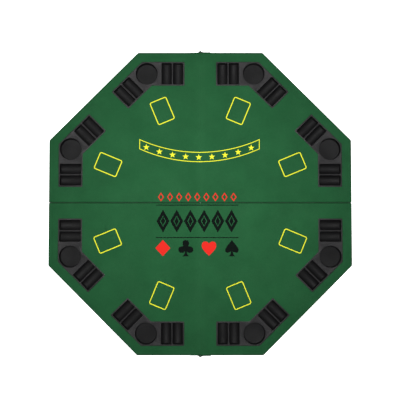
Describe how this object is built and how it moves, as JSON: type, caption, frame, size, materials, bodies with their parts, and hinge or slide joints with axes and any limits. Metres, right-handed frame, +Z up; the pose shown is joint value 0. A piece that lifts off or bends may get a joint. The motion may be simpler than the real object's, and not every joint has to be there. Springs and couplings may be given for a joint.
{
  "type": "folding poker table top",
  "caption": "Octagonal felt-covered table top of hollow panels with bent chip-and-cup trays; it folds twice into a quarter-size bundle.",
  "frame": {"origin": "on the surface that the pads rest on, under the middle of the octagon, where the fold crosses the seam", "axes": "+X to the right along the seam, +Y to the rear along the fold, +Z up out of the cloth"},
  "size_m": [1.2192, 1.2282, 0.036],
  "materials": {
    "green_cloth": "short-napped polyester speed cloth",
    "tray_plastic": "satin moulded charcoal",
    "deck_board": "raw fibreboard",
    "base_board": "black-faced hardboard",
    "softwood": "planed pine",
    "pad_rubber": "matte",
    "blackened_steel": "dark enamelled",
    "bright_steel": "zinc-plated"
  },
  "bodies": {
    "front_left": {"front_left_base": "base_board", "front_left_rim_rails": "softwood", "front_left_seam_rail": "softwood", "front_left_fold_rail": "softwood", "front_left_brace": "softwood", "front_left_deck": "deck_board", "front_left_cloth": "green_cloth", "front_left_side_tray": "tray_plastic", "front_left_end_tray": "tray_plastic", "front_left_pads": "pad_rubber", "front_left_pivot_plate": "blackened_steel", "front_pivot_rivet": "blackened_steel", "front_left_pivot_screws": "bright_steel", "seam_hinge_1_front_leaf": "blackened_steel", "seam_hinge_1_pin": "bright_steel", "seam_hinge_2_front_leaf": "blackened_steel", "seam_hinge_2_pin": "bright_steel", "front_hinge_screws": "bright_steel"},
    "front_right": {"front_right_base": "base_board", "front_right_rim_rails": "softwood", "front_right_seam_rail": "softwood", "front_right_fold_rail": "softwood", "front_right_brace": "softwood", "front_right_deck": "deck_board", "front_right_cloth": "green_cloth", "front_right_side_tray": "tray_plastic", "front_right_end_tray": "tray_plastic", "front_right_pads": "pad_rubber", "front_right_pivot_plate": "blackened_steel", "front_right_pivot_screws": "bright_steel"},
    "rear_left": {"rear_left_base": "base_board", "rear_left_rim_rails": "softwood", "rear_left_seam_rail": "softwood", "rear_left_fold_rail": "softwood", "rear_left_brace": "softwood", "rear_left_deck": "deck_board", "rear_left_cloth": "green_cloth", "rear_left_side_tray": "tray_plastic", "rear_left_end_tray": "tray_plastic", "rear_left_pads": "pad_rubber", "rear_left_pivot_plate": "blackened_steel", "rear_pivot_rivet": "blackened_steel", "rear_left_pivot_screws": "bright_steel", "seam_hinge_1_rear_leaf": "blackened_steel", "seam_hinge_2_rear_leaf": "blackened_steel", "rear_hinge_screws": "bright_steel"},
    "rear_right": {"rear_right_base": "base_board", "rear_right_rim_rails": "softwood", "rear_right_seam_rail": "softwood", "rear_right_fold_rail": "softwood", "rear_right_brace": "softwood", "rear_right_deck": "deck_board", "rear_right_cloth": "green_cloth", "rear_right_side_tray": "tray_plastic", "rear_right_end_tray": "tray_plastic", "rear_right_pads": "pad_rubber", "rear_right_pivot_plate": "blackened_steel", "rear_right_pivot_screws": "bright_steel"}
  },
  "joints": [
    {"name": "front_fold", "type": "hinge", "parent": "front_left", "child": "front_right", "pos_m": [0, 0, 0.0312], "axis": [0, -1, 0], "range_deg": [0, 179.9]},
    {"name": "middle_fold", "type": "hinge", "parent": "front_left", "child": "rear_left", "pos_m": [0, 0, 0.0022], "axis": [-1, 0, 0], "range_deg": [0, 180]},
    {"name": "rear_fold", "type": "hinge", "parent": "rear_left", "child": "rear_right", "pos_m": [0, 0, 0.0312], "axis": [0, -1, 0], "range_deg": [0, 179.9]}
  ]
}
